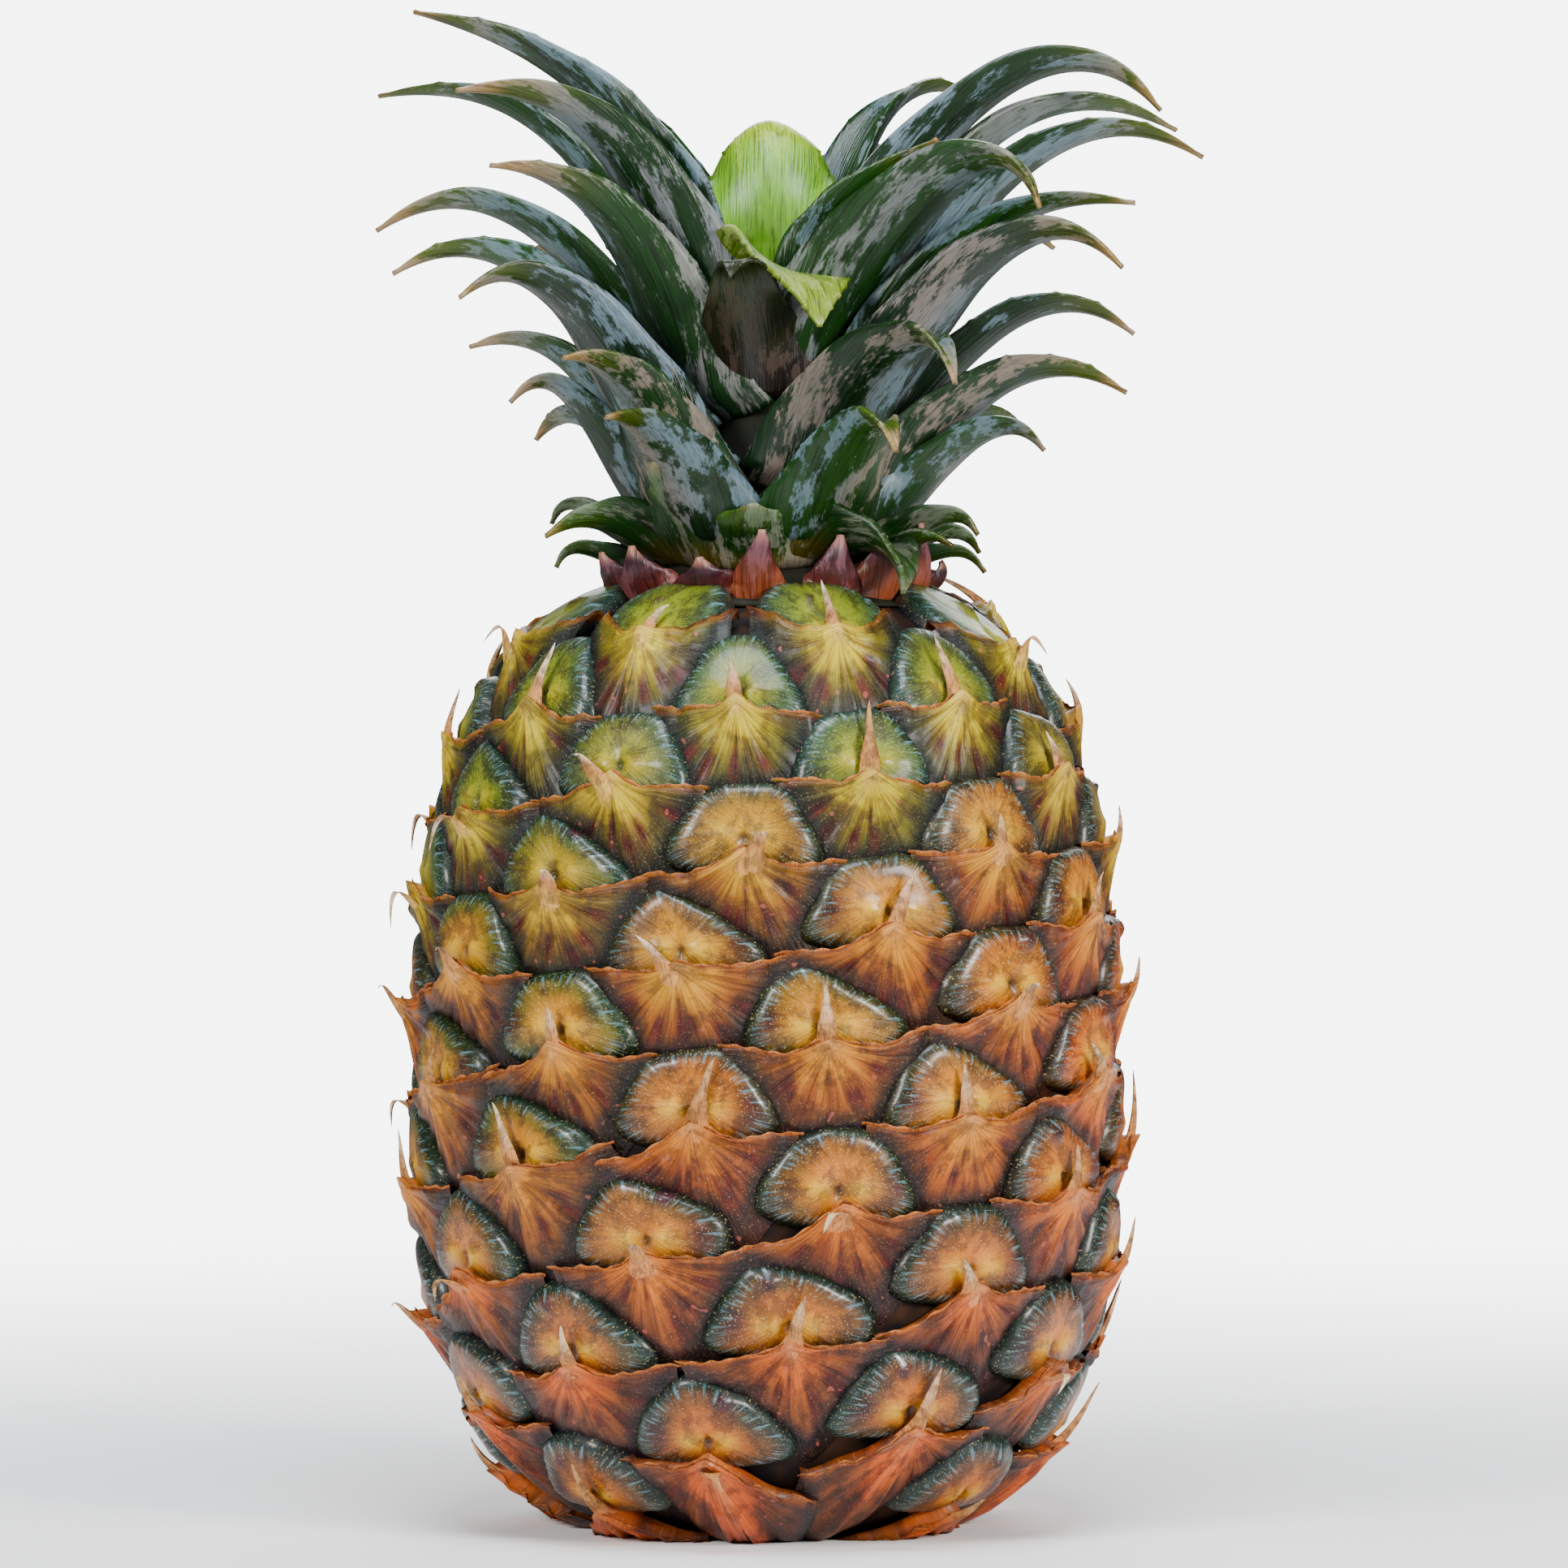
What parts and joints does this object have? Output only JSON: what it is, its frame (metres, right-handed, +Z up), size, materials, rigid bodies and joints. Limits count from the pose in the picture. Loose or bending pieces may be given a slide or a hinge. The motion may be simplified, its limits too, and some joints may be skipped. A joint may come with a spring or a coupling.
{
  "type": "pineapple",
  "caption": "Whole ripe pineapple standing upright: an oval fruit with a spiral of raised, spined eyes under a crown of arching keeled leaves.",
  "frame": {"origin": "centre of the flat face that the fruit stands on", "axes": "+Z up along the fruit's core to the crown, -Y towards the front, +X to the right seen from the front"},
  "size_m": [0.1402, 0.1283, 0.2557],
  "materials": {
    "rind": "satin rind, green and yellow at the top, orange and red-brown lower down, with pale brown papery edges",
    "cut_stem": "dry cut fibre",
    "crown_foot": "satin, green with a reddish brown foot",
    "leaf": "waxy, dark green with a grey bloom"
  },
  "bodies": {
    "root": {"fruit": "rind", "cut_stem": "cut_stem", "crown_stem": "crown_foot", "crown_leaf_01": "leaf", "crown_leaf_02": "leaf", "crown_leaf_03": "leaf", "crown_leaf_04": "leaf", "crown_leaf_05": "leaf", "crown_leaf_06": "leaf", "crown_leaf_07": "leaf", "crown_leaf_08": "leaf", "crown_leaf_09": "leaf", "crown_leaf_10": "leaf", "crown_leaf_11": "leaf", "crown_leaf_12": "leaf", "crown_leaf_13": "leaf", "crown_leaf_14": "leaf", "crown_leaf_15": "leaf", "crown_leaf_16": "leaf", "crown_leaf_17": "leaf", "crown_leaf_18": "leaf", "crown_leaf_19": "leaf", "crown_leaf_20": "leaf", "crown_leaf_21": "leaf", "crown_leaf_22": "leaf", "crown_leaf_23": "leaf", "crown_leaf_24": "leaf", "crown_leaf_25": "leaf", "crown_leaf_26": "leaf", "crown_leaf_27": "leaf", "crown_leaf_28": "leaf", "crown_leaf_29": "leaf", "crown_leaf_30": "leaf", "crown_leaf_31": "leaf", "crown_leaf_32": "leaf", "crown_leaf_33": "leaf", "crown_leaf_34": "leaf", "crown_leaf_35": "leaf", "crown_leaf_36": "leaf", "crown_leaf_37": "leaf", "crown_leaf_38": "leaf"}
  },
  "joints": []
}
